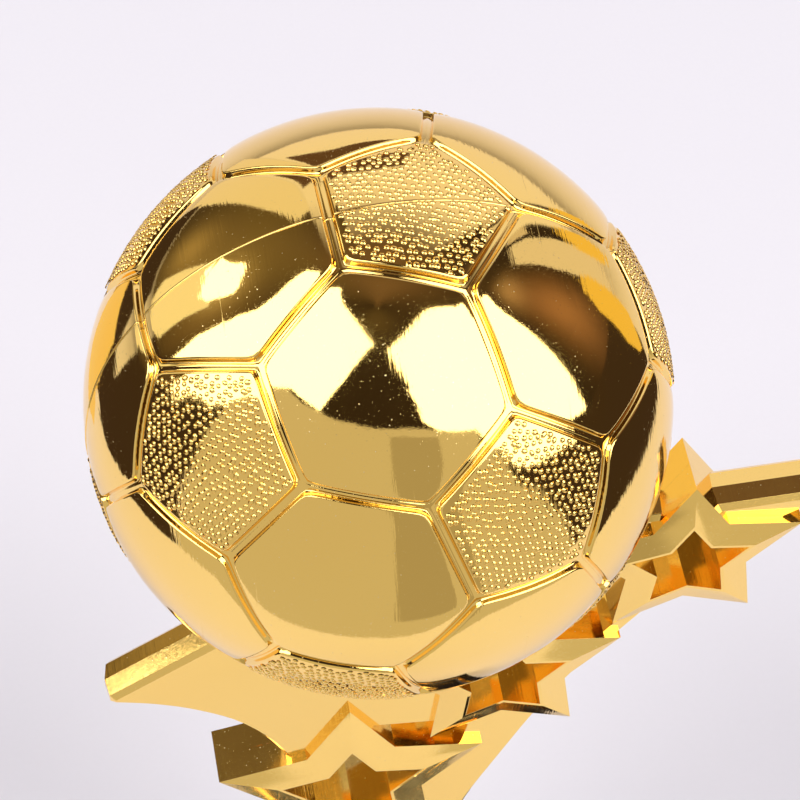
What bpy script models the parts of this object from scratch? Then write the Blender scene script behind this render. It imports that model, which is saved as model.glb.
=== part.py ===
"""Football trophy: a hollow plated ball on an openwork swoosh with three star frames, on a column and a square base.

Metres, +Z up. The origin is on the floor under the middle of the base, and the figure's mid-plane is Y = 0, its front facing -Y.
The swoosh is laid out in ball radii: s runs to the right and h upwards from the ball's centre.
"""

import math

import bmesh
import bpy
from mathutils import Matrix, Vector

# ---------------------------------------------------------------- driving dimensions
BALL_R = 0.0500  # outer radius of the ball
BALL_WALL = 0.0022
BALL_Z = 0.2780  # height of the ball's centre
BALL_FACING = (0.0270, -0.9992, 0.0284)  # the ball is glued on about two degrees off the figure's plane
GAP = 0.0003  # clearance between touching pieces

PLATE_T = 0.180 * BALL_R  # thickness over both figure shells
STAR_T = 0.235 * BALL_R  # thickness at a star's outer edge
STAR_RISE = 0.032 * BALL_R  # a star's hole rim stands this much proud of its outer edge
STAR_INNER = 0.54  # notch radius over tip radius
STAR_HOLE = 0.575  # rim of the hole over the star's size
STAR_LIP = 0.012 * BALL_R
SKIN = 0.0016  # wall of the figure shells
CHAMFER = 0.0010
DRAFT = 0.0006
STARS = ((-0.142, -2.345, 0.553), (0.455, -1.685, 0.477), (1.133, -1.065, 0.447))  # s, h, tip radius

BASE_W = 0.0960
BASE_H = 0.0400
BASE_WALL = 0.0026
TRIM_W = 0.0840
STEP_W = 0.0760
STEP_H = 0.0140
BASE_Z = 0.0010  # the shell's rim clears the surface; the object rests on its pad
PAD_W = 0.0700
PAD_H = 0.0020
BOLT_R = 0.0020  # M4 tie bolt

# ---------------------------------------------------------------- clean start, collections, materials
for obj in list(bpy.data.objects):
    bpy.data.objects.remove(obj, do_unlink=True)

parts = bpy.data.collections.new("football_trophy")
cutters = bpy.data.collections.new("cutters")
bpy.context.scene.collection.children.link(parts)
bpy.context.scene.collection.children.link(cutters)


def material(name, color, rough, metal):
    made = bpy.data.materials.new(name)
    made.use_nodes = True
    shader = made.node_tree.nodes["Principled BSDF"]
    shader.inputs["Base Color"].default_value = (*color, 1.0)
    shader.inputs["Roughness"].default_value = rough
    shader.inputs["Metallic"].default_value = metal
    made.diffuse_color = (*color, 1.0)
    return made


GOLD = (0.86, 0.60, 0.18)


def add(name, bm, mat, cutter=False, smooth=None):
    """An object from a bmesh, in the parts or the cutters collection."""
    mesh = bpy.data.meshes.new(name)
    bm.to_mesh(mesh)
    bm.free()
    obj = bpy.data.objects.new(name, mesh)
    (cutters if cutter else parts).objects.link(obj)
    if cutter:
        obj.hide_render = True
        obj.display_type = "WIRE"
    else:
        mesh.materials.append(mat)
    if smooth is not None:
        mesh.shade_smooth()
        mesh.set_sharp_from_angle(angle=math.radians(smooth))
    return obj


def boolean(obj, operand, operation="DIFFERENCE"):
    mod = obj.modifiers.new(operand.name, "BOOLEAN")
    mod.object = operand
    mod.operation = operation
    mod.solver = "EXACT"
    return mod


# ---------------------------------------------------------------- shape helpers
def loft(rings):
    """A closed solid through rings of equal length, with a flat cap at each end."""
    bm = bmesh.new()
    rows = [[bm.verts.new(p) for p in ring] for ring in rings]
    n = len(rings[0])
    for low, high in zip(rows, rows[1:]):
        for i in range(n):
            bm.faces.new((low[i], low[(i + 1) % n], high[(i + 1) % n], high[i]))
    bm.faces.new(rows[0])
    bm.faces.new(rows[-1])
    bmesh.ops.recalc_face_normals(bm, faces=bm.faces)
    return bm


def cylinder(radius, depth, centre, axis="Z", segments=32, radius2=None):
    bm = bmesh.new()
    bmesh.ops.create_cone(
        bm, cap_ends=True, segments=segments, radius1=radius, radius2=radius if radius2 is None else radius2, depth=depth
    )
    turn = {"Z": Matrix(), "Y": Matrix.Rotation(math.pi / 2, 4, "X"), "X": Matrix.Rotation(math.pi / 2, 4, "Y")}[axis]
    bmesh.ops.transform(bm, matrix=Matrix.Translation(centre) @ turn, verts=bm.verts)
    return bm


def box(size, centre):
    bm = bmesh.new()
    bmesh.ops.create_cube(bm, size=1.0)
    bmesh.ops.transform(bm, matrix=Matrix.Translation(centre) @ Matrix.Diagonal((*size, 1.0)), verts=bm.verts)
    return bm


def block(name, size, centre, mat, bevel=0.0, segments=2):
    """A box with rounded edges."""
    obj = add(name, box(size, centre), mat, smooth=40)
    if bevel:
        mod = obj.modifiers.new("Bevel", "BEVEL")
        mod.width = bevel
        mod.segments = segments
        mod.limit_method = "ANGLE"
        mod.angle_limit = math.radians(40)
    return obj


def turned(name, profile, mat, steps=32, location=(0, 0, 0)):
    """A closed profile of (radius, z) points, clockwise from the top of the outer side, turned about Z."""
    bm = bmesh.new()
    verts = [bm.verts.new((r, 0.0, z)) for r, z in profile]
    for a, b in zip(verts, verts[1:]):
        bm.edges.new((a, b))
    if profile[0][0] > 1e-6 or profile[-1][0] > 1e-6:
        bm.edges.new((verts[-1], verts[0]))
    obj = add(name, bm, mat)
    obj.location = location
    mod = obj.modifiers.new("Screw", "SCREW")
    mod.axis = "Z"
    mod.steps = mod.render_steps = steps
    mod.use_merge_vertices = True
    mod.merge_threshold = 1e-5
    mod.use_smooth_shade = True
    return obj


def plane_pt(s, h, y):
    return (s * BALL_R, y, BALL_Z + h * BALL_R)


def inset(points, distance):
    """A simple polygon's corners moved inwards by a distance, along the bisectors; the unit is the points' own."""
    area = sum(a[0] * b[1] - b[0] * a[1] for a, b in zip(points, points[1:] + points[:1]))
    side = 1.0 if area > 0 else -1.0
    out = []
    n = len(points)
    for i in range(n):
        p0, p1, p2 = (Vector(points[(i + k) % n]) for k in (-1, 0, 1))
        d1, d2 = (p1 - p0).normalized(), (p2 - p1).normalized()
        n1, n2 = Vector((-d1.y, d1.x)) * side, Vector((-d2.y, d2.x)) * side
        m = n1 + n2
        m *= distance / max(0.12, m.dot(n1))
        out.append((p1.x + m.x, p1.y + m.y))
    return out


def star_points(star, scale=1.0):
    s, h, size = star
    out = []
    for i in range(10):
        r = size * scale * (1.0 if i % 2 == 0 else STAR_INNER)
        a = math.pi / 2 - i * math.pi / 5
        out.append((s + r * math.cos(a), h + r * math.sin(a)))
    return out


def rounded(points, steps=4):
    """A closed outline in which the points marked 1 are passed by a smooth curve and the others stay corners."""
    out = []
    n = len(points)
    for i in range(n):
        p0, p1, p2, p3 = (points[(i + k) % n] for k in (-1, 0, 1, 2))
        out.append((p1[0], p1[1]))
        if not (p1[2] or p2[2]):
            continue
        a, b = Vector(p1[:2]), Vector(p2[:2])
        m1 = (b - Vector(p0[:2])) / 2 if p1[2] else b - a
        m2 = (Vector(p3[:2]) - a) / 2 if p2[2] else b - a
        for k in range(1, steps):
            t = k / steps
            q = (
                a * (2 * t**3 - 3 * t**2 + 1)
                + m1 * (t**3 - 2 * t**2 + t)
                + b * (-2 * t**3 + 3 * t**2)
                + m2 * (t**3 - t**2)
            )
            out.append((q.x, q.y))
    return out


# ---------------------------------------------------------------- the swoosh's outline, clockwise from the left blade's tip
OUTLINE = rounded(
    (
        (-1.054, -1.490, 0),
        (-0.270, -0.968, 0),
        (0.000, -0.880, 0),
        (0.560, -0.795, 0),
        (1.745, -0.787, 0),
        (1.750, -0.838, 0),
        (1.560, -0.905, 1),
        (1.360, -1.030, 1),
        (1.200, -1.190, 1),
        (1.040, -1.400, 1),
        (0.880, -1.620, 1),
        (0.735, -1.840, 1),
        (0.610, -2.080, 1),
        (0.475, -2.370, 1),
        (0.345, -2.670, 1),
        (0.265, -2.930, 1),
        (0.240, -3.120, 0),
        (0.240, -3.340, 0),
        (-0.240, -3.340, 0),
        (-0.240, -3.120, 0),
        (-0.275, -2.850, 1),
        (-0.320, -2.450, 1),
        (-0.425, -2.070, 1),
        (-0.570, -1.830, 1),
        (-0.730, -1.690, 1),
        (-0.890, -1.600, 1),
        (-1.054, -1.540, 0),
    )
)
HOLLOW = (
    (-0.860, -1.440),
    (-0.640, -1.290),
    (-0.300, -1.075),
    (0.000, -1.100),
    (0.420, -1.010),
    (0.680, -0.870),
    (1.240, -0.850),
    (1.460, -0.845),
    (1.380, -0.920),
    (1.250, -1.050),
    (1.000, -1.370),
    (0.830, -1.610),
    (0.680, -1.840),
    (0.560, -2.070),
    (0.430, -2.360),
    (0.300, -2.660),
    (0.215, -2.850),
    (-0.215, -2.850),
    (-0.260, -2.500),
    (-0.360, -2.090),
    (-0.530, -1.800),
    (-0.680, -1.660),
)
WINDOWS = (
    ((-0.070, -1.960), (0.200, -1.995), (0.330, -2.060), (0.300, -2.200), (0.000, -2.200)),
    ((0.620, -1.125), (0.930, -1.140), (0.900, -1.450), (0.820, -1.560), (0.560, -1.500), (0.560, -1.320)),
)
BOSSES = ((-0.560, -1.500), (0.300, -1.260), (1.440, -0.905), (-0.200, -1.560), (0.130, -2.760))

SEGMENTS = 20
cut_id = [0]


def cutter(bm):
    cut_id[0] += 1
    return add("cut_%02d" % cut_id[0], bm, None, cutter=True)


def prism(points, y1, y2):
    return loft([[plane_pt(s, h, y1) for s, h in points], [plane_pt(s, h, y2) for s, h in points]])


def figure_shell(name, side, mat):
    """One half of the swoosh: a tray with its rim on the mid-plane. side is -1 for the front half and 1 for the back."""
    inside = -side * 0.001  # operands run past the mid-plane, and the last cut makes the rim flat
    u = BALL_R
    face = side * PLATE_T / 2
    rings = [
        (OUTLINE, inside),
        (OUTLINE, 0.0),
        (inset(OUTLINE, DRAFT / u), side * (PLATE_T / 2 - CHAMFER)),
        (inset(OUTLINE, (DRAFT + CHAMFER) / u), face),
    ]
    obj = add(name, loft([[plane_pt(s, h, y) for s, h in ring] for ring, y in rings]), mat, smooth=20)
    boolean(obj, cutter(prism(HOLLOW, side * (PLATE_T / 2 - SKIN), inside * 2)))
    for window in WINDOWS:
        boolean(obj, cutter(prism(inset(list(window), -0.0013 / u), side * (PLATE_T / 2 - 0.0008), inside)), "UNION")
    for s, h in BOSSES:
        bm = cylinder(0.0023, PLATE_T / 2 - 0.0006, plane_pt(s, h, side * (PLATE_T / 2 - 0.0006) / 2), "Y", SEGMENTS)
        boolean(obj, cutter(bm), "UNION")
    # the block that holds the neck pin, and the one around the threaded insert
    boolean(obj, cutter(box((0.0100, PLATE_T / 2 - 0.0006, 0.0170), plane_pt(0.0, -1.26, side * (PLATE_T / 2 - 0.0006) / 2))), "UNION")
    for window in WINDOWS:
        boolean(obj, cutter(prism(window, side * PLATE_T, inside * 3)))
    for star in STARS:
        outer, rim = star_points(star), star_points(star, STAR_HOLE)
        solid = [(outer, inside), (outer, side * STAR_T / 2), (rim, side * (STAR_T / 2 + STAR_RISE))]
        boolean(obj, cutter(loft([[plane_pt(s, h, y) for s, h in ring] for ring, y in solid])), "UNION")
    for star in STARS:
        hole = inset(star_points(star, STAR_HOLE), STAR_LIP / u)
        boolean(obj, cutter(prism(hole, side * STAR_T, inside * 3)))
    for s, h in BOSSES:
        boolean(obj, cutter(cylinder(0.0013, 0.0062, plane_pt(s, h, 0.0), "Y", 16)))
    boolean(obj, cutter(cylinder(0.0028, 0.0400, plane_pt(0.0, -1.10, 0.0), "Z", 24)))
    boolean(obj, cutter(cylinder(0.0032, 0.0220, plane_pt(0.0, -3.340, 0.0), "Z", 24)))
    seat = bmesh.new()
    bmesh.ops.create_uvsphere(seat, u_segments=32, v_segments=20, radius=BALL_R + 2 * GAP)
    bmesh.ops.translate(seat, verts=seat.verts, vec=(0, 0, BALL_Z))
    boolean(obj, cutter(seat))
    boolean(obj, cutter(box((0.300, 0.040, 0.300), (0.0, -side * (0.020 - GAP / 2), BALL_Z - 0.080))))
    return obj


figure_front = figure_shell("figure_front_shell", -1, material("figure_front_shell", GOLD, 0.08, 1.0))
figure_back = figure_shell("figure_back_shell", 1, material("figure_back_shell", GOLD, 0.08, 1.0))

# locating dowels between the two figure shells
dowel_mat = material("figure_dowels", (0.75, 0.73, 0.68), 0.5, 0.0)
for i, (s, h) in enumerate(BOSSES):
    add("figure_dowel_%d" % (i + 1), cylinder(0.0010, 0.0054, plane_pt(s, h, 0.0), "Y", 12), dowel_mat, smooth=40)

# ---------------------------------------------------------------- the ball: two shells that meet in a stepped rim
facing = Vector(BALL_FACING).normalized()
ARC = 9


def half_profile(step_out, step_in, lip):
    """Outer arc from the pole down to the rim, the stepped rim, and the inner arc back; the pole is at +Z."""
    inner = BALL_R - BALL_WALL
    mid = BALL_R - BALL_WALL / 2
    points = [(BALL_R * math.sin(a), BALL_R * math.cos(a)) for a in (math.pi / 2 * i / ARC for i in range(ARC))]
    points[0] = (0.0, BALL_R)
    points += [(math.sqrt(BALL_R**2 - step_out**2), step_out), (mid + lip, step_out), (mid + lip, step_in)]
    start = math.asin(max(step_in, 0.0) / inner)
    points += [(math.sqrt(inner**2 - step_in**2), step_in)]
    points += [
        (inner * math.cos(a), inner * math.sin(a))
        for a in (start + (math.pi / 2 - start) * i / ARC for i in range(1, ARC))
    ]
    points.append((0.0, inner))
    return points


def ball_shell(name, direction, step_out, step_in, lip):
    obj = turned(name, half_profile(step_out, step_in, lip), material(name, GOLD, 0.06, 1.0), steps=40)
    turn = direction.to_track_quat("Z", "Y")
    obj.rotation_mode = "QUATERNION"
    obj.rotation_quaternion = turn
    obj.location = (0.0, 0.0, BALL_Z)
    return obj


ball_front = ball_shell("ball_front_shell", facing, GAP / 2, -0.0012, -GAP / 2)
ball_back = ball_shell("ball_back_shell", -facing, GAP / 2, 0.0015 + GAP, GAP / 2)
socket_hole = cutter(cylinder(0.0065, 0.0120, (0.0, 0.0, BALL_Z - BALL_R + 0.001), "Z", 36))
boolean(ball_front, socket_hole)
boolean(ball_back, socket_hole)

# the bush glued into the ball's opening, and the steel pin that carries the ball on the figure
Z0 = BALL_Z - BALL_R
turned(
    "ball_socket",
    (
        (0.0, Z0 + 0.0160),
        (0.0058, Z0 + 0.0160),
        (0.0062, Z0 + 0.0156),
        (0.0062, Z0 + 0.0046),
        (0.0095, Z0 + 0.0046),
        (0.0095, Z0 + 0.0037),
        (0.0062, Z0 + 0.0030),
        (0.0062, Z0 + 0.0009),
        (0.0029, Z0 + 0.0009),
        (0.0029, Z0 + 0.0135),
        (0.0, Z0 + 0.0135),
    ),
    material("ball_socket", (0.75, 0.73, 0.68), 0.45, 0.0),
    steps=32,
)
add("neck_pin", cylinder(0.0025, 0.0310, (0.0, 0.0, Z0 - 0.0026), "Z", 24), material("neck_pin", (0.6, 0.6, 0.6), 0.3, 1.0), smooth=40)

# ---------------------------------------------------------------- stem insert, collars, column, tie bolt
STEM_Z = BALL_Z - 3.340 * BALL_R
insert = turned(
    "stem_insert",
    (
        (0.0030, STEM_Z + 0.0105),
        (0.0030, STEM_Z + 0.0002),
        (BOLT_R + GAP, STEM_Z + 0.0002),
        (BOLT_R + GAP, STEM_Z + 0.0105),
    ),
    material("stem_insert", (0.78, 0.57, 0.25), 0.35, 1.0),
    steps=24,
)

COLLAR_TOP = STEM_Z + 0.0090
COLLAR_LOW = COLLAR_TOP - 0.0150
upper_collar = turned(
    "upper_collar",
    (
        (0.0, COLLAR_TOP),
        (0.0145, COLLAR_TOP),
        (0.0156, COLLAR_TOP - 0.0010),
        (0.0160, COLLAR_TOP - 0.0025),
        (0.0156, COLLAR_TOP - 0.0040),
        (0.0140, COLLAR_TOP - 0.0052),
        (0.0130, COLLAR_TOP - 0.0070),
        (0.0132, COLLAR_TOP - 0.0100),
        (0.0150, COLLAR_TOP - 0.0120),
        (0.0155, COLLAR_TOP - 0.0135),
        (0.0150, COLLAR_TOP - 0.0150),
        (0.0, COLLAR_TOP - 0.0150),
    ),
    material("upper_collar", GOLD, 0.10, 1.0),
)
boolean(upper_collar, cutter(box((0.480 * BALL_R + 2 * GAP, PLATE_T + 2 * GAP, 0.0186), (0.0, 0.0, STEM_Z + 0.0093 - GAP))))
boolean(upper_collar, cutter(cylinder(BOLT_R + GAP, 0.040, (0.0, 0.0, COLLAR_TOP - 0.0100), "Z", 24)))

STEP_TOP = BASE_Z + BASE_H + GAP + 0.0025 + GAP + STEP_H
LOWER_Z = STEP_TOP + GAP
LOWER_H = 0.0080
COLUMN_Z = LOWER_Z + LOWER_H + GAP
COLUMN_TOP = COLLAR_LOW - GAP
turned(
    "lower_collar",
    (
        (0.0170, LOWER_Z + LOWER_H),
        (0.0176, LOWER_Z + LOWER_H - 0.0010),
        (0.0176, LOWER_Z + LOWER_H - 0.0022),
        (0.0190, LOWER_Z + LOWER_H - 0.0036),
        (0.0225, LOWER_Z + LOWER_H - 0.0052),
        (0.0245, LOWER_Z + LOWER_H - 0.0066),
        (0.0245, LOWER_Z + 0.0006),
        (0.0240, LOWER_Z),
        (BOLT_R + 2 * GAP, LOWER_Z),
        (BOLT_R + 2 * GAP, LOWER_Z + LOWER_H),
    ),
    material("lower_collar", GOLD, 0.10, 1.0),
)
span = COLUMN_TOP - COLUMN_Z
outer = [
    (0.0128 + 0.0026 * (2 * abs(t - 0.5)) ** 2.2, COLUMN_TOP - span * t) for t in (i / 9 for i in range(10))
]
inner = [(r - 0.0022, z) for r, z in reversed(outer)]
turned("column", outer + inner, material("column", (0.012, 0.012, 0.013), 0.12, 0.0))

BASE_TOP = BASE_Z + BASE_H
BOLT_LOW = BASE_TOP - BASE_WALL - 0.0044
bolt_len = STEM_Z + 0.0092 - BOLT_LOW
bm = cylinder(BOLT_R, bolt_len, (0.0, 0.0, BOLT_LOW + bolt_len / 2), "Z", 20)
add("tie_bolt", bm, material("tie_bolt", (0.62, 0.62, 0.62), 0.3, 1.0), smooth=40)
turned(
    "tie_washer",
    (
        (0.0055, BASE_TOP - BASE_WALL - GAP),
        (0.0055, BASE_TOP - BASE_WALL - GAP - 0.0008),
        (BOLT_R + GAP, BASE_TOP - BASE_WALL - GAP - 0.0008),
        (BOLT_R + GAP, BASE_TOP - BASE_WALL - GAP),
    ),
    material("tie_washer", (0.62, 0.62, 0.62), 0.3, 1.0),
    steps=28,
)
nut = add(
    "tie_nut",
    cylinder(0.0040, 0.0030, (0.0, 0.0, BASE_TOP - BASE_WALL - 2 * GAP - 0.0008 - 0.0015), "Z", 6),
    material("tie_nut", (0.62, 0.62, 0.62), 0.3, 1.0),
    smooth=20,
)
boolean(nut, cutter(cylinder(BOLT_R + GAP, 0.010, (0.0, 0.0, BASE_TOP - BASE_WALL - 0.003), "Z", 20)))

# ---------------------------------------------------------------- base
BLACK = (0.010, 0.010, 0.011)
base = block("base_shell", (BASE_W, BASE_W, BASE_H), (0, 0, BASE_Z + BASE_H / 2), material("base_shell", BLACK, 0.10, 0.0), 0.0016, 3)
boolean(base, cutter(box((BASE_W - 2 * BASE_WALL, BASE_W - 2 * BASE_WALL, 2 * (BASE_H - BASE_WALL)), (0, 0, BASE_Z))))
bore = cutter(cylinder(BOLT_R + 2 * GAP, 0.100, (0, 0, 0.050), "Z", 24))
boolean(base, bore)
POST = BASE_W / 2 - 0.0085
for x in (-1, 1):
    for y in (-1, 1):
        # screw posts for the bottom cover, merged with the walls' top
        boolean(base, cutter(cylinder(0.0032, 0.0318, (x * POST, y * POST, BASE_TOP - 0.0018 - 0.0159), "Z", 16)), "UNION")
        boolean(base, cutter(cylinder(0.0013, 0.0200, (x * POST, y * POST, BASE_TOP - 0.0250 - 0.0086), "Z", 12)))

trim = block("base_trim", (TRIM_W, TRIM_W, 0.0025), (0, 0, BASE_TOP + GAP + 0.00125), material("base_trim", GOLD, 0.12, 1.0), 0.0008, 2)
boolean(trim, bore)
STEP_Z = BASE_TOP + 2 * GAP + 0.0025
step = block("base_step", (STEP_W, STEP_W, STEP_H), (0, 0, STEP_Z + STEP_H / 2), material("base_step", BLACK, 0.10, 0.0), 0.0030, 3)
boolean(step, bore)

WEIGHT_H = 0.0120
weight = block("weight_block", (0.0680, 0.0680, WEIGHT_H), (0, 0, 0.0054 + WEIGHT_H / 2), material("weight_block", (0.30, 0.29, 0.28), 0.7, 0.0), 0.0015, 1)

COVER_W = BASE_W - 2 * BASE_WALL - 2 * GAP
COVER_Z = PAD_H + GAP
cover = add("bottom_cover", box((COVER_W, COVER_W, 0.0024), (0, 0, COVER_Z + 0.0012)), material("bottom_cover", (0.02, 0.02, 0.02), 0.55, 0.0), smooth=30)
for x in (-1, 1):
    for y in (-1, 1):
        boolean(cover, cutter(cylinder(0.0015, 0.010, (x * POST, y * POST, COVER_Z), "Z", 16)))
        boolean(cover, cutter(cylinder(0.0030, 0.0028, (x * POST, y * POST, COVER_Z), "Z", 20)))


screw_mat = material("cover_screws", (0.5, 0.5, 0.5), 0.35, 1.0)
for i, (x, y) in enumerate(((-1, -1), (1, -1), (1, 1), (-1, 1))):
    turned(
        "cover_screw_%d" % (i + 1),
        (
            (0.0, 0.0120),
            (0.0010, 0.0120),
            (0.0010, 0.0011),
            (0.0026, 0.0009),
            (0.0026, 0.0002),
            (0.0, 0.0002),
        ),
        screw_mat,
        steps=14,
        location=(x * POST, y * POST, COVER_Z),
    )

# the felt pad under the cover, which the trophy stands on
block("base_pad", (PAD_W, PAD_W, PAD_H), (0, 0, PAD_H / 2), material("base_pad", (0.02, 0.02, 0.022), 0.95, 0.0))

# blank name plate on its adhesive pad, on the front of the base
FRONT = -BASE_W / 2
block("nameplate_pad", (0.0580, 0.0005, 0.0200), (0, FRONT - GAP - 0.00025, BASE_Z + BASE_H / 2), material("nameplate_pad", (0.8, 0.8, 0.78), 0.8, 0.0))
block("nameplate", (0.0620, 0.0008, 0.0240), (0, FRONT - 2 * GAP - 0.0005 - 0.0004, BASE_Z + BASE_H / 2), material("nameplate", GOLD, 0.25, 1.0), 0.00025, 1)
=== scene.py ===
import math
import random

import bmesh
import bpy
import numpy as np
from mathutils import Matrix, Vector


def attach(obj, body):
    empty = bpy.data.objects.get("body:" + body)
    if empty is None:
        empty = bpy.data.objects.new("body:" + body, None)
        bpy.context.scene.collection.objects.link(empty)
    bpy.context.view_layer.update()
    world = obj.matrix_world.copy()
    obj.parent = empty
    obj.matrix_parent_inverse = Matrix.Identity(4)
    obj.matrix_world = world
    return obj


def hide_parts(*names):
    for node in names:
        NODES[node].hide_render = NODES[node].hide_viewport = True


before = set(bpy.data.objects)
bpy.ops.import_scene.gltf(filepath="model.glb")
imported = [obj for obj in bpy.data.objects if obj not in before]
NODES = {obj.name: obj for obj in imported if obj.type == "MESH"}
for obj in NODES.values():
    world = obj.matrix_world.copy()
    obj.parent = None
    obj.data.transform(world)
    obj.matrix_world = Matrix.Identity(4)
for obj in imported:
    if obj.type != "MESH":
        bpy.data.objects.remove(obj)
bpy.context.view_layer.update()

# ------------------------------------------------------------------ the ball's place, and the camera
R = 0.0500
CENTRE = Vector((0.0, 0.0, 0.2780))
ELEV, AZIM, DIST = math.radians(52.9), math.radians(-9.8), 10.2
cam_z = Vector((math.sin(AZIM) * math.cos(ELEV), -math.cos(AZIM) * math.cos(ELEV), math.sin(ELEV)))
cam_x = Vector((math.cos(AZIM), math.sin(AZIM), 0.0))
cam_y = cam_z.cross(cam_x)
VIEW = Matrix((cam_x, cam_y, cam_z)).transposed()

cam_data = bpy.data.cameras.new("camera")
cam_data.lens = 135.0
cam_data.sensor_width = 36.0
cam_data.clip_start = 0.01
cam_data.clip_end = 50.0
camera = bpy.data.objects.new("camera", cam_data)
camera.matrix_world = Matrix.Translation(CENTRE + R * (VIEW @ Vector((0.073, 0.009, DIST)))) @ VIEW.to_4x4()
bpy.context.scene.collection.objects.link(camera)
bpy.context.scene.camera = camera
bpy.context.scene.view_settings.view_transform = "Standard"


# ------------------------------------------------------------------ material helpers
class Graph:
    """A Principled material and short calls that add nodes to it."""

    def __init__(self, name, color, rough, metal, **sockets):
        self.mat = bpy.data.materials.new(name)
        self.mat.use_nodes = True
        self.tree = self.mat.node_tree
        self.bsdf = self.tree.nodes["Principled BSDF"]
        self.bsdf.inputs["Base Color"].default_value = (*color, 1.0)
        self.bsdf.inputs["Roughness"].default_value = rough
        self.bsdf.inputs["Metallic"].default_value = metal
        for key, value in sockets.items():
            self.bsdf.inputs[key.replace("_", " ")].default_value = value
        self.coord = self.tree.nodes.new("ShaderNodeTexCoord").outputs["Object"]

    def link(self, a, b):
        self.tree.links.new(a, b)

    def mapped(self, scale, turn=(0, 0, 0)):
        node = self.tree.nodes.new("ShaderNodeMapping")
        node.inputs["Scale"].default_value = scale
        node.inputs["Rotation"].default_value = turn
        self.link(self.coord, node.inputs["Vector"])
        return node.outputs["Vector"]

    def noise(self, scale, detail=3.0, rough=0.5, vector=None, distortion=0.0):
        node = self.tree.nodes.new("ShaderNodeTexNoise")
        node.inputs["Scale"].default_value = scale
        node.inputs["Detail"].default_value = detail
        node.inputs["Roughness"].default_value = rough
        node.inputs["Distortion"].default_value = distortion
        self.link(vector or self.coord, node.inputs["Vector"])
        return node.outputs["Fac"]

    def specks(self, scale, size):
        """1 in small scattered dots, 0 elsewhere."""
        node = self.tree.nodes.new("ShaderNodeTexVoronoi")
        node.inputs["Scale"].default_value = scale
        self.link(self.coord, node.inputs["Vector"])
        return self.span(node.outputs["Distance"], size, size * 0.45, 0.0, 1.0)

    def span(self, value, a, b, low, high):
        node = self.tree.nodes.new("ShaderNodeMapRange")
        for key, v in (("From Min", a), ("From Max", b), ("To Min", low), ("To Max", high)):
            node.inputs[key].default_value = v
        self.link(value, node.inputs["Value"])
        return node.outputs["Result"]

    def math(self, op, a, b):
        node = self.tree.nodes.new("ShaderNodeMath")
        node.operation = op
        for socket, v in zip(node.inputs, (a, b)):
            if isinstance(v, (int, float)):
                socket.default_value = v
            else:
                self.link(v, socket)
        return node.outputs[0]

    def mix(self, factor, a, b):
        node = self.tree.nodes.new("ShaderNodeMix")
        node.data_type = "RGBA"
        self.link(factor, node.inputs["Factor"])
        for socket, v in ((node.inputs[6], a), (node.inputs[7], b)):
            if isinstance(v, tuple):
                socket.default_value = (*v, 1.0)
            else:
                self.link(v, socket)
        return node.outputs[2]

    def color(self, out):
        self.link(out, self.bsdf.inputs["Base Color"])

    def rough(self, out):
        self.link(out, self.bsdf.inputs["Roughness"])

    def bump(self, height, distance, strength=1.0, normal=None):
        node = self.tree.nodes.new("ShaderNodeBump")
        node.inputs["Strength"].default_value = strength
        node.inputs["Distance"].default_value = distance
        self.link(height, node.inputs["Height"])
        if normal is not None:
            self.link(normal, node.inputs["Normal"])
        return node.outputs["Normal"]

    def normal(self, out):
        self.link(out, self.bsdf.inputs["Normal"])


def scratches(g, seed):
    """Fine hairlines in two directions: 1 on a line, 0 elsewhere."""
    total = None
    for k, (turn, length) in enumerate((((0.3, 0.5 + seed, 0.9), 1500.0), ((1.1 + seed, -0.4, 0.2), 2100.0))):
        lines = g.noise(1.0, 1.0, 0.4, g.mapped((length, 26.0, 26.0), turn))
        patch = g.span(g.noise(38.0 + 9 * k, 1.0), 0.52, 0.64, 0.0, 1.0)
        one = g.math("MULTIPLY", g.span(lines, 0.735, 0.80, 0.0, 1.0), patch)
        total = one if total is None else g.math("MAXIMUM", total, one)
    return total


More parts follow.
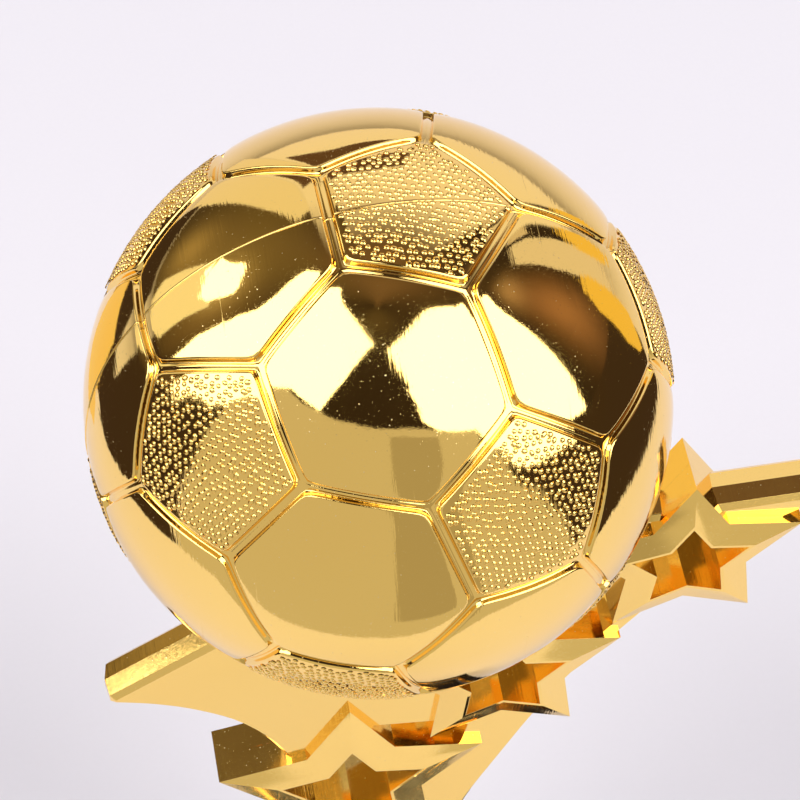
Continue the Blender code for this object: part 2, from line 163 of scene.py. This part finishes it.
def gold(name, seed=0.0, rough=0.045, wave=1.0):
    """Bright electroplated gold on moulded plastic: mirror gloss, faint waviness, hairlines and settled dust."""
    g = Graph(name, (0.95, 0.68, 0.20), rough, 1.0, Specular_Tint=(1.0, 0.94, 0.86, 1.0))
    lines = scratches(g, seed)
    dust = g.math("MAXIMUM", g.specks(620.0, 0.075), g.math("MULTIPLY", g.specks(1350.0, 0.11), 0.6))
    tone = g.mix(g.noise(22.0, 2.0), (1.0, 0.705, 0.225), (0.985, 0.665, 0.185))
    tone = g.mix(g.math("MULTIPLY", dust, 0.55), tone, (0.86, 0.80, 0.62))
    g.color(tone)
    smear = g.span(g.noise(70.0, 4.0, 0.6), 0.35, 0.75, rough * 0.7, rough * 1.9)
    grain = g.span(g.noise(2400.0, 2.0, 0.6), 0.50, 0.72, 0.0, 0.11)
    grain = g.math("MULTIPLY", grain, g.span(g.noise(28.0, 2.0), 0.42, 0.62, 0.25, 1.0))
    rougher = g.math("ADD", g.math("MULTIPLY", dust, 0.30), grain)
    g.rough(g.math("ADD", g.math("ADD", smear, g.math("MULTIPLY", lines, 0.16)), rougher))
    n = g.bump(g.noise(46.0, 2.0, 0.45), 0.00003 * wave)
    n = g.bump(g.noise(520.0, 2.0), 0.0000045 * wave, 1.0, n)
    for k, turn in enumerate(((0.35, 0.6 + seed, 0.8), (1.2, -0.3, seed + 0.4))):
        brushed = g.noise(1.0, 2.0, 0.55, g.mapped((1700.0 + 500 * k, 60.0, 60.0), turn))
        worn = g.span(g.noise(31.0 + 8 * k, 2.0), 0.50, 0.68, 0.0, 1.0)
        n = g.bump(g.math("MULTIPLY", brushed, worn), 0.00003, 1.0, n)
    n = g.bump(g.math("SUBTRACT", dust, lines), 0.000008, 1.0, n)
    n = g.bump(g.noise(3100.0, 2.0, 0.7), 0.0000022, 1.0, n)
    g.normal(n)
    return g.mat


def black_gloss(name, seed=0.0):
    """Piano black moulded plastic with dust and faint polishing lines."""
    g = Graph(name, (0.008, 0.008, 0.009), 0.08, 0.0, Coat_Weight=0.6, Coat_Roughness=0.03)
    lines = scratches(g, seed)
    dust = g.specks(540.0, 0.07)
    g.color(g.mix(dust, (0.0075, 0.0075, 0.0085), (0.10, 0.10, 0.10)))
    smear = g.span(g.noise(55.0, 4.0, 0.6), 0.35, 0.75, 0.06, 0.17)
    g.rough(g.math("ADD", smear, g.math("MULTIPLY", lines, 0.2)))
    n = g.bump(g.noise(36.0, 2.0), 0.00012)
    n = g.bump(g.math("SUBTRACT", dust, lines), 0.000006, 1.0, n)
    g.normal(n)
    return g.mat


def moulded(name, color, rough, grain=1400.0, depth=0.00002):
    g = Graph(name, color, rough, 0.0)
    n = g.noise(grain, 3.0, 0.6)
    g.color(g.mix(g.noise(90.0, 3.0), tuple(c * 0.86 for c in color), tuple(min(1.0, c * 1.12) for c in color)))
    g.rough(g.span(n, 0.3, 0.7, rough * 0.85, min(1.0, rough * 1.15)))
    g.normal(g.bump(n, depth))
    return g.mat


def machined(name, color, rough, axis=2):
    """Turned or drawn metal: fine lines round the piece or along it."""
    g = Graph(name, color, rough, 1.0)
    scale = [90.0, 90.0, 90.0]
    scale[axis] = 5200.0
    lines = g.noise(1.0, 2.0, 0.5, g.mapped(tuple(scale)))
    g.color(g.mix(g.noise(120.0, 3.0), tuple(c * 0.88 for c in color), color))
    g.rough(g.span(lines, 0.3, 0.7, rough * 0.75, rough * 1.3))
    g.normal(g.bump(lines, 0.00001))
    return g.mat


def felt(name, color):
    g = Graph(name, color, 0.95, 0.0, Sheen_Weight=0.5, Sheen_Roughness=0.5)
    fibre = g.noise(1.0, 4.0, 0.7, g.mapped((2600.0, 1500.0, 2600.0), (0.2, 0.3, 0.7)))
    g.color(g.mix(fibre, tuple(c * 0.5 for c in color), tuple(c * 2.4 for c in color)))
    g.rough(g.span(fibre, 0.2, 0.8, 0.85, 1.0))
    g.normal(g.bump(fibre, 0.00018))
    return g.mat


def dress(obj, mat):
    obj.data.materials.clear()
    obj.data.materials.append(mat)


# ------------------------------------------------------------------ the ball: panels, U-shaped seams, raised dots
def rotation(w):
    v = Vector(w)
    return Matrix.Rotation(v.length, 3, v.normalized())


PATTERN = VIEW @ rotation((-0.188, -0.339, -0.672))
PHI = (1 + math.sqrt(5)) / 2
SEAM_W, SEAM_D = 0.0215, 0.0240  # half width and depth of a seam, in ball radii
SIDE = 18  # mesh steps along a panel's side


def icosahedron():
    out = []
    for a in (1.0, -1.0):
        for b in (PHI, -PHI):
            out += [(0.0, a, b), (b, 0.0, a), (a, b, 0.0)]
    return [PATTERN @ Vector(p).normalized() for p in out]


ICO = icosahedron()


def panels():
    """Each panel's centre and its corners in order: 12 pentagons, then 20 hexagons."""
    n = len(ICO)
    near = [[j for j in range(n) if j != i and ICO[i].dot(ICO[j]) > 0.4] for i in range(n)]
    found = []

    def order(centre, corners):
        e1 = (corners[0] - centre * corners[0].dot(centre)).normalized()
        e2 = centre.cross(e1)
        corners.sort(key=lambda v: math.atan2(v.dot(e2), v.dot(e1)))
        return corners

    for i in range(n):
        found.append((ICO[i].copy(), order(ICO[i], [ICO[i].lerp(ICO[j], 1 / 3) for j in near[i]]), 5))
    for i in range(n):
        for j in near[i]:
            for k in near[i]:
                if i < j < k and k in near[j]:
                    centre = (ICO[i] + ICO[j] + ICO[k]).normalized()
                    corners = []
                    for a, b in ((i, j), (j, k), (k, i)):
                        corners += [ICO[a].lerp(ICO[b], 1 / 3), ICO[a].lerp(ICO[b], 2 / 3)]
                    found.append((centre, order(centre, corners), 6))
    return found


def smooth(t):
    t = min(1.0, max(0.0, t))
    return t * t * (3 - 2 * t)


def surface(d):
    """The ball's radius, in ball radii, at a distance d from the nearest seam's middle."""
    w = SEAM_W
    channel = 1.0 - smooth((d - 0.62 * w) / (0.50 * w))
    crown = 0.16 * max(0.0, 1.0 - (d / (0.55 * w)) ** 2)
    pillow = 0.0035 * math.exp(-max(0.0, d - w) / 0.035)
    return 1.0 - SEAM_D * (channel - crown) - pillow * (1.0 - channel)


RINGS = [k * SEAM_W for k in (0.0, 0.28, 0.55, 0.70, 0.82, 0.93, 1.04, 1.16, 1.40, 1.9)] + [0.055, 0.08, 0.12, 0.17, 0.22, 0.27, 0.32]

verts, faces = [], []
PENTS = []
for centre, corners, sides in panels():
    flat = [c / c.dot(centre) - centre for c in corners]
    e1 = flat[0].normalized()
    e2 = centre.cross(e1)
    pts = [Vector((p.dot(e1), p.dot(e2))) for p in flat]
    normals = []
    for k in range(sides):
        a, b = pts[k], pts[(k + 1) % sides]
        m = (a + b) / 2
        normals.append(m.normalized())
    apothem = ((pts[0] + pts[1]) / 2).length
    edge = []
    for k in range(sides):
        for j in range(SIDE):
            edge.append(pts[k].lerp(pts[(k + 1) % sides], j / SIDE))
    rows = []
    for d in RINGS:
        if d > apothem - 0.03:
            break
        row = []
        for p in edge:
            u = p.normalized()
            if d == 0.0:
                rho = p.length
            else:
                q = 34.0 if d >= SEAM_W * 0.8 else 90.0
                rho = (apothem - d) / sum(max(0.0, u.dot(v)) ** q for v in normals) ** (1 / q)
            at = (centre + e1 * (u.x * rho) + e2 * (u.y * rho)).normalized()
            row.append(len(verts))
            verts.append(at * surface(d))
        rows.append(row)
    count = len(edge)
    for low, high in zip(rows, rows[1:]):
        for i in range(count):
            faces.append((low[i], low[(i + 1) % count], high[(i + 1) % count], high[i]))
    top = len(verts)
    verts.append(centre * surface(apothem))
    for i in range(count):
        faces.append((rows[-1][i], rows[-1][(i + 1) % count], top))
    if sides == 5:
        PENTS.append((centre, e1, e2, normals, apothem))


def near_axis(target):
    """The panel pattern's two-fold axis nearest a direction: the ball's parting plane is square to it."""
    best = None
    for i in range(12):
        for j in range(i):
            if ICO[i].dot(ICO[j]) > 0.4:
                m = (ICO[i] + ICO[j]).normalized()
                for v in (m, -m):
                    if best is None or v.dot(target) > best.dot(target):
                        best = v
    return best


FACING = near_axis(Vector((0, -1, 0)))

# raised dots: a loose close packing on each pentagon, each dot a low dome
rnd = random.Random(11)
PITCH, DOT_R, DOT_H = 0.0266, 0.0093, 0.0040
SPOKES = 6
DOME = ((0.50, 0.985), (0.71, 0.81), (0.89, 0.36), (1.08, -0.12))
dot_count = 0
for centre, e1, e2, normals, apothem in PENTS:
    turn = rnd.uniform(0, math.pi)
    spots = []
    reach = int(0.42 / PITCH) + 2
    for a in range(-reach, reach + 1):
        for b in range(-reach, reach + 1):
            x = (a + 0.5 * b) * PITCH
            y = b * PITCH * 0.866
            x += 0.0045 * math.sin(y * 31 + turn * 7) + rnd.gauss(0, 0.0031)
            y += 0.0045 * math.sin(x * 27 + turn * 5) + rnd.gauss(0, 0.0031)
            p = Vector((x * math.cos(turn) - y * math.sin(turn), x * math.sin(turn) + y * math.cos(turn)))
            if max(p.dot(v) for v in normals) < apothem - SEAM_W - 0.0138:
                spots.append(p)
    for p in spots:
        at = (centre + e1 * p.x + e2 * p.y).normalized()
        off = at.dot(FACING)
        size = DOT_R * rnd.uniform(0.84, 1.12)
        stretch = rnd.uniform(1.2, 1.5) if rnd.random() < 0.13 else rnd.uniform(1.0, 1.12)
        if abs(off) < size * 1.5 + 0.001:
            at = (at + FACING * (math.copysign(size * 1.5 + 0.001, off) - off)).normalized()
        lean = rnd.uniform(0, math.pi)
        t1 = at.cross(FACING).normalized()
        t2 = at.cross(t1)
        t1, t2 = t1 * math.cos(lean) + t2 * math.sin(lean), t2 * math.cos(lean) - t1 * math.sin(lean)
        base = surface(0.3)
        high = DOT_H * size / DOT_R
        start = len(verts)
        verts.append(at * (base + high))
        for reach_k, lift in DOME:
            for i in range(SPOKES):
                ang = 2 * math.pi * i / SPOKES
                side = t1 * (math.cos(ang) * stretch) + t2 * math.sin(ang)
                verts.append((at + side * (size * reach_k)).normalized() * (base + high * lift))
        for i in range(SPOKES):
            j = (i + 1) % SPOKES
            faces.append((start, start + 1 + i, start + 1 + j))
            for k in range(len(DOME) - 1):
                a0, b0 = start + 1 + k * SPOKES, start + 1 + (k + 1) * SPOKES
                faces.append((a0 + i, b0 + i, b0 + j, a0 + j))
        faces.append(tuple(start + 1 + (len(DOME) - 1) * SPOKES + i for i in reversed(range(SPOKES))))
        dot_count += 1

whole = bpy.data.meshes.new("ball_whole")
whole.from_pydata([tuple(v * R + CENTRE) for v in verts], [], faces)
whole.validate()


def half_ball(name, direction, mat):
    """The half of the ball on one side of the parting plane, closed by a rim and an inner wall."""
    bm = bmesh.new()
    bm.from_mesh(whole)
    bmesh.ops.remove_doubles(bm, verts=bm.verts, dist=1e-6)
    hair = 0.00003
    bmesh.ops.bisect_plane(
        bm,
        geom=bm.verts[:] + bm.edges[:] + bm.faces[:],
        dist=1e-7,
        plane_co=CENTRE + direction * hair,
        plane_no=direction,
        clear_inner=True,
    )
    rim = {v for e in bm.edges if len(e.link_faces) == 1 for v in e.verts}
    axis = direction
    x_axis = axis.orthogonal().normalized()
    y_axis = axis.cross(x_axis)
    loop = sorted(rim, key=lambda v: math.atan2((v.co - CENTRE).dot(y_axis), (v.co - CENTRE).dot(x_axis)))
    prev = loop
    wall = R - 0.0022
    base = []
    for v in loop:
        flat = v.co - CENTRE
        flat = (flat - axis * flat.dot(axis)).normalized()
        base.append(flat)
    for k in range(7):
        lift = math.pi / 2 * k / 7
        ring = [bm.verts.new(CENTRE + (f * math.cos(lift) + axis * math.sin(lift)) * wall + (axis * hair if k == 0 else axis * 0)) for f in base]
        for i in range(len(loop)):
            j = (i + 1) % len(loop)
            bm.faces.new((prev[i], prev[j], ring[j], ring[i]))
        prev = ring
    pole = bm.verts.new(CENTRE + axis * wall)
    for i in range(len(loop)):
        bm.faces.new((prev[i], prev[(i + 1) % len(loop)], pole))
    bmesh.ops.recalc_face_normals(bm, faces=bm.faces)
    # a fine flash bead along the parting line, left by the mould
    if direction.dot(FACING) > 0:
        outer = [[] for _ in range(5)]
        for k, v in enumerate(loop):
            reach = (v.co - CENTRE).length
            for m, (across, rise) in enumerate(((0.00002, -0.0002), (0.00008, 0.00007), (0.00026, 0.00014), (0.00044, 0.00007), (0.00052, -0.0002))):
                outer[m].append(bm.verts.new(CENTRE + base[k] * (reach + rise) + axis * across))
        for low, high in zip(outer, outer[1:] + outer[:1]):
            for i in range(len(loop)):
                j = (i + 1) % len(loop)
                bm.faces.new((low[i], high[i], high[j], low[j]))
    mesh = bpy.data.meshes.new(name)
    bm.to_mesh(mesh)
    bm.free()
    mesh.shade_smooth()
    mesh.set_sharp_from_angle(angle=math.radians(62))
    obj = bpy.data.objects.new(name, mesh)
    bpy.context.scene.collection.objects.link(obj)
    dress(obj, mat)
    return obj


ball_gold = gold("ball_gold_plating", 0.0, 0.04)
for piece_name, direction, node in (
    ("ball_front_half", FACING, "ball_front_shell"),
    ("ball_back_half", -FACING, "ball_back_shell"),
):
    piece = half_ball(piece_name, direction, ball_gold)
    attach(piece, "root")
    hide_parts(node)
    print(piece_name, len(piece.data.vertices), sum(len(p.vertices) - 2 for p in piece.data.polygons), "dots", dot_count)

# ------------------------------------------------------------------ the figure's shells, with softened edges
figure_gold = gold("figure_gold_plating", 1.7, 0.085, 1.3)
for piece_name, node in (("figure_front", "figure_front_shell"), ("figure_back", "figure_back_shell")):
    mesh = NODES[node].data.copy()
    mesh.name = piece_name
    bm = bmesh.new()
    bm.from_mesh(mesh)
    bmesh.ops.remove_doubles(bm, verts=bm.verts, dist=2e-6)
    bmesh.ops.dissolve_limit(bm, angle_limit=math.radians(0.6), verts=bm.verts, edges=bm.edges)
    for v in bm.verts:
        if abs(v.co.y) < 0.0002:
            v.co.y = math.copysign(0.00001, v.co.y)  # the plated rims meet
    bm.to_mesh(mesh)
    bm.free()
    obj = bpy.data.objects.new(piece_name, mesh)
    bpy.context.scene.collection.objects.link(obj)
    weights = mesh.attributes.new("bevel_weight_edge", "FLOAT", "EDGE")
    bm = bmesh.new()
    bm.from_mesh(mesh)
    bm.edges.ensure_lookup_table()
    soft = []
    for e in bm.edges:
        turned_by = e.calc_face_angle(0.0) if len(e.link_faces) == 2 else 0.0
        on_joint = max(abs(v.co.y) for v in e.verts) < 0.00005
        soft.append(1.0 if turned_by > math.radians(22) and not on_joint else 0.0)
    bm.free()
    for i, w in enumerate(soft):
        weights.data[i].value = w
    mod = obj.modifiers.new("Bevel", "BEVEL")
    mod.width = 0.00026
    mod.segments = 2
    mod.limit_method = "WEIGHT"
    mesh.shade_smooth()
    mesh.set_sharp_from_angle(angle=math.radians(22))
    mod.harden_normals = False
    dress(obj, figure_gold)
    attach(obj, "root")
    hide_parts(node)

# ------------------------------------------------------------------ carried-over CAD nodes
gold_parts = gold("collar_gold_plating", 0.8, 0.06)
black = black_gloss("piano_black_plastic")
steel = machined("zinc_steel", (0.62, 0.62, 0.60), 0.30)
natural = moulded("natural_abs", (0.74, 0.71, 0.64), 0.5)
dress(NODES["base_trim"], gold_parts)
for node in ("base_shell", "base_step"):
    dress(NODES[node], black)
for piece_name, node, mat, slot in (
    ("upper_collar_turned", "upper_collar", gold_parts, "gold_plating"),
    ("lower_collar_turned", "lower_collar", gold_parts, "gold_plating"),
    ("column_turned", "column", black, "black_plastic"),
):
    mesh = NODES[node].data.copy()
    mesh.name = piece_name
    bm = bmesh.new()
    bm.from_mesh(mesh)
    bmesh.ops.remove_doubles(bm, verts=bm.verts, dist=2e-6)
    bm.to_mesh(mesh)
    bm.free()
    mesh.shade_smooth()
    mesh.set_sharp_from_angle(angle=math.radians(38))
    obj = bpy.data.objects.new(piece_name, mesh)
    bpy.context.scene.collection.objects.link(obj)
    dress(obj, mat)
    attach(obj, "root")
    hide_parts(node)
for node in ("neck_pin", "tie_bolt", "tie_washer", "tie_nut", "cover_screw_1", "cover_screw_2", "cover_screw_3", "cover_screw_4"):
    dress(NODES[node], steel)
for node in ["ball_socket"] + ["figure_dowel_%d" % i for i in range(1, 6)]:
    dress(NODES[node], natural)
dress(NODES["stem_insert"], machined("insert_brass", (0.80, 0.58, 0.26), 0.28))
dress(NODES["bottom_cover"], moulded("matte_black_abs", (0.02, 0.02, 0.021), 0.6))
dress(NODES["weight_block"], moulded("cast_filler", (0.30, 0.29, 0.27), 0.85, 400.0, 0.0002))
dress(NODES["nameplate_pad"], moulded("foam_tape", (0.80, 0.80, 0.77), 0.9, 900.0, 0.00008))
dress(NODES["base_pad"], felt("black_felt", (0.02, 0.02, 0.022)))
dress(NODES["nameplate"], machined("brushed_gold_sheet", (0.93, 0.68, 0.27), 0.26, 2))

# ------------------------------------------------------------------ studio
world = bpy.data.worlds.new("studio")
bpy.context.scene.world = world
world.use_nodes = True
world.node_tree.nodes["Background"].inputs["Color"].default_value = (0.90, 0.875, 0.92, 1.0)
world.node_tree.nodes["Background"].inputs["Strength"].default_value = 0.42


def stage_mesh(name, make, mat):
    bm = bmesh.new()
    make(bm)
    mesh = bpy.data.meshes.new(name)
    bm.to_mesh(mesh)
    bm.free()
    obj = bpy.data.objects.new(name, mesh)
    bpy.context.scene.collection.objects.link(obj)
    obj.data.materials.append(mat)
    return obj


def glow(name, color, strength):
    mat = bpy.data.materials.new(name)
    mat.use_nodes = True
    tree = mat.node_tree
    tree.nodes.clear()
    out = tree.nodes.new("ShaderNodeOutputMaterial")
    emit = tree.nodes.new("ShaderNodeEmission")
    emit.inputs["Color"].default_value = (*color, 1.0)
    emit.inputs["Strength"].default_value = strength
    tree.links.new(emit.outputs[0], out.inputs[0])
    return mat


floor_graph = Graph("paper_floor", (0.83, 0.80, 0.85), 0.9, 0.0)
grain = floor_graph.noise(700.0, 3.0)
floor_graph.color(floor_graph.mix(grain, (0.82, 0.79, 0.84), (0.84, 0.81, 0.86)))
floor_graph.rough(floor_graph.span(grain, 0.3, 0.7, 0.85, 0.95))
floor = stage_mesh("floor", lambda bm: bmesh.ops.create_grid(bm, x_segments=1, y_segments=1, size=8.0), floor_graph.mat)


def only_in_reflections(obj):
    obj.visible_camera = False
    obj.visible_diffuse = False
    obj.visible_shadow = False
    obj.visible_transmission = False
    obj.visible_volume_scatter = False


def card(name, az0, az1, el0, el1, distance, mat, hidden=True, bend=10):
    """A curved card round the ball's centre, between two azimuths and two elevations in degrees. Azimuth 0 is in front."""

    def make(bm):
        rows = []
        steps = max(2, int(abs(az1 - az0) / bend))
        for el in (el0, el1):
            row = []
            for i in range(steps + 1):
                a, e = math.radians(az0 + (az1 - az0) * i / steps), math.radians(el)
                row.append(
                    bm.verts.new(
                        CENTRE + distance * Vector((math.sin(a) * math.cos(e), -math.cos(a) * math.cos(e), math.sin(e)))
                    )
                )
            rows.append(row)
        for i in range(steps):
            bm.faces.new((rows[0][i], rows[0][i + 1], rows[1][i + 1], rows[1][i]))

    obj = stage_mesh(name, make, mat)
    if hidden:
        only_in_reflections(obj)
    return obj


def band(name, profile, distance, mat, from_ball=False):
    """A curved card given by (azimuth, lower elevation, upper elevation) along its length, seen only in reflections.

    The angles are from the ball's centre, or from where the ball mirrors them to the camera, which a near card needs.
    """
    toward = VIEW @ Vector((0, 0, 1))

    def make(bm):
        rows = []
        for az, low, high in profile:
            row = []
            for k in range(7):
                a, e = math.radians(az), math.radians(low + (high - low) * k / 6)
                at = Vector((math.sin(a) * math.cos(e), -math.cos(a) * math.cos(e), math.sin(e)))
                if from_ball:
                    start = (at + toward).normalized() * R
                    reach = start.dot(at)
                    at = (start + at * (math.sqrt(reach * reach - R * R + distance * distance) - reach)) / distance
                row.append(bm.verts.new(CENTRE + distance * at))
            rows.append(row)
        for r0, r1 in zip(rows, rows[1:]):
            for k in range(6):
                bm.faces.new((r0[k], r1[k], r1[k + 1], r0[k + 1]))

    obj = stage_mesh(name, make, mat)
    only_in_reflections(obj)
    return obj


# what the plating mirrors: a dark room, soft boxes high on both sides, a white board in front whose shade is painted in
# as a mid grey-tan glow, a white sweep behind
def room(az, el):
    """The dim room round the object: its colour in a direction given in degrees."""

    def lobe(a0, e0, wa, we):
        da = (az - a0 + 180) % 360 - 180
        return math.exp(-((da / wa) ** 2) - ((el - e0) / we) ** 2)

    def ramp(v, lo, hi):
        return smooth((v - lo) / (hi - lo))

    total = Vector((0.036, 0.025, 0.020))
    for amount, colour in (
        (lobe(-138, 34, 26, 34), (0.150, 0.115, 0.055)),
        (lobe(-112, 24, 13, 22), (0.085, 0.055, 0.028)),
        (lobe(-125, 30, 9, 10), (0.45, 0.38, 0.24)),
        (lobe(-140, 9, 7, 9), (0.24, 0.185, 0.095)),
        (lobe(99, 20, 9, 19), (0.330, 0.170, 0.095)),
        (lobe(100, 42, 8, 6), (0.28, 0.20, 0.14)),
        (lobe(160, 78, 60, 22), (0.150, 0.095, 0.060)),
        (lobe(50, -10, 15, 20), (0.020, 0.010, 0.006)),
        (lobe(-14, 84, 60, 7), (0.060, 0.045, 0.025)),
    ):
        total += Vector(colour) * amount
    back = ramp(az % 360, 129.5, 131.5) * (1 - ramp(az % 360, 191, 194))
    back *= ramp(el, -50, -20) * (1 - ramp(el, 36, 68))
    return total.lerp(Vector((0.93, 0.885, 0.94)), back)


def dome_mesh(bm):
    columns, rows = 360, 120
    grid = []
    for r in range(1, rows):
        e = math.radians(-90 + 180 * r / rows)
        grid.append([bm.verts.new(CENTRE + 5.0 * Vector((math.sin(a) * math.cos(e), -math.cos(a) * math.cos(e), math.sin(e)))) for a in (math.radians(360 * c / columns) for c in range(columns))])
    for low, high in zip(grid, grid[1:]):
        for c in range(columns):
            d = (c + 1) % columns
            bm.faces.new((low[c], low[d], high[d], high[c]))
    for ring, z in ((grid[0], -5.0), (grid[-1], 5.0)):
        pole = bm.verts.new(CENTRE + Vector((0, 0, z)))
        for c in range(columns):
            bm.faces.new((ring[c], ring[(c + 1) % columns], pole))


# what the plating mirrors: a dim room, soft boxes high on both sides, a white board in front whose shade is painted in
# as a mid grey-tan glow, a white sweep behind
room_tone = glow("room_tone", (0.05, 0.04, 0.03), 1.0)
tone = room_tone.node_tree.nodes.new("ShaderNodeAttribute")
tone.attribute_name = "tone"
room_tone.node_tree.links.new(tone.outputs["Color"], [n for n in room_tone.node_tree.nodes if n.type == "EMISSION"][0].inputs["Color"])
dome = stage_mesh("dark_room", dome_mesh, room_tone)
layer = dome.data.color_attributes.new("tone", "FLOAT_COLOR", "POINT")
for i, v in enumerate(dome.data.vertices):
    d = (v.co - CENTRE).normalized()
    layer.data[i].color = (*room(math.degrees(math.atan2(d.x, -d.y)), math.degrees(math.asin(max(-1.0, min(1.0, d.z))))), 1.0)
only_in_reflections(dome)
white = glow("soft_box", (1.0, 0.985, 0.95), 3.7)
box_left = [(-133, 63, 72), (-127, 60, 74), (-121, 58, 75), (-115, 55, 76), (-108, 48, 76.5), (-107, 22, 77), (-104, 14, 77), (-101, 8, 78), (-96, 7, 78), (-92, 16, 79)]
box_left += [(-84, 19, 79.5), (-72, 32, 80), (-62, 45, 80), (-41, 45, 79.2), (-38.9, 51.4, 79), (-35.9, 56.9, 78.6), (-31.8, 62, 78), (-25.7, 68.9, 77), (-16, 74.2, 74.8)]
box_right = [(1.3, 71.3, 71.8), (6.1, 65.8, 72.8), (10, 58.4, 73.4), (12.4, 50.3, 73.8), (13.5, 43, 74), (22, 36, 74.8), (30, 32, 75.2), (36, 29, 75.5), (42, 12, 75.7)]
box_right += [(50, 7, 75.8), (62, 4, 75.2), (75, 3, 73.8), (79, 14, 73), (83, 30, 71), (87, 45, 66), (88.5, 50, 60), (94, 54, 57)]
band("soft_box_left", box_left, 2.0, white)
band("soft_box_right", box_right, 2.02, white)
band("lamp_back_left", [(-133, 26, 36), (-131, 22, 38), (-122, 22, 38), (-119, 26, 36)], 0.208, white, True)
# painted shade: the board in front is white but stands in shade, so its card glows a mid grey-tan; board_shade paints a
# deeper patch of shade on it
board = glow("shaded_white_board", (0.635, 0.60, 0.545), 1.0)
band("lamp_stand", [(-134, 2, 27), (-130, -4, 28), (-122, -4, 28), (-117, 2, 27)], 0.21, glow("stand_white", (1.0, 0.96, 0.86), 1.0), True)
band("board_front", [(-76, -29, 30), (-62, -32, 44.5), (-50, -38, 45), (-30, -42, 45), (-10, -43, 44), (10, -42, 42), (34, -36, 31), (39, -35, 9), (45, -34, 0), (51, -34, -14), (55, -34, -26)], 0.41, board)
band("board_shade", [(-4, -34, 41), (17, -33, 37)], 0.40, glow("grey_board_shade", (0.44, 0.405, 0.34), 1.0))
shade = glow("side_shade", (0.050, 0.033, 0.026), 1.0)
band("shade_right", [(41, -28, 3), (60, -31, 3), (80, -32, 4), (98, -32, 2), (106, -32, 1), (112, -30, 0)], 0.51, shade)
band("shade_left", [(-154, -16, 0), (-142, -16, 0), (-131, -31, -1), (-127, -32, -17), (-120, -33, -17), (-117, -33, 0), (-108, -32, 4), (-98, -32, 6), (-78, -30, 15)], 0.51, shade)
band("strip_right", [(113, -8, 37), (124, -6, 36)], 1.9, glow("strip_pale", (0.80, 0.74, 0.76), 1.0))
band("strip_far", [(126, 23, 37), (131, 24, 36)], 1.9, glow("strip_far_pale", (0.70, 0.62, 0.60), 1.0))
band("strip_back_left", [(-168, -10, 42), (-162, -10, 43), (-157, -10, 43), (-154.5, -10, 26)], 1.9, glow("strip_left_pale", (0.88, 0.82, 0.76), 1.0))
amber = glow("amber_card", (0.62, 0.42, 0.13), 1.0)
yellow = glow("yellow_card", (0.92, 0.66, 0.16), 1.0)
band("amber_left", [(-166, -44, -22), (-154, -43, -13), (-142, -40, -10), (-132, -34, -8)], 0.56, amber)
band("amber_near", [(-147, -36, -15), (-137, -38, -13), (-127, -36, -15)], 0.27, glow("amber_near", (0.95, 0.72, 0.30), 1.0))
band("yellow_right", [(104, -10, 6), (107, -18, 11), (110, -20, 12), (113, -12, 9)], 0.50, yellow)
band("yellow_far_right", [(121, -6, 6), (125, -10, 11), (130, -5, 7)], 0.50, yellow)
band("far_dark", [(164, 14, 24), (172, 12, 28), (180, 13, 27), (190, 8, 30)], 1.9, glow("far_dark_brown", (0.12, 0.07, 0.05), 1.0))

for name, az, el, power, size in (("key_left", -62, 60, 26.0, 0.9), ("key_right", 42, 56, 26.0, 0.9), ("back_fill", 170, 55, 10.0, 1.2)):
    light = bpy.data.lights.new(name, "AREA")
    light.energy = power
    light.shape = "SQUARE"
    light.size = size
    obj = bpy.data.objects.new(name, light)
    a, e = math.radians(az), math.radians(el)
    back = Vector((math.sin(a) * math.cos(e), -math.cos(a) * math.cos(e), math.sin(e)))
    obj.location = CENTRE + back * 2.4
    obj.rotation_mode = "QUATERNION"
    obj.rotation_quaternion = back.to_track_quat("Z", "Y")
    obj.visible_glossy = False
    obj.visible_camera = False
    bpy.context.scene.collection.objects.link(obj)
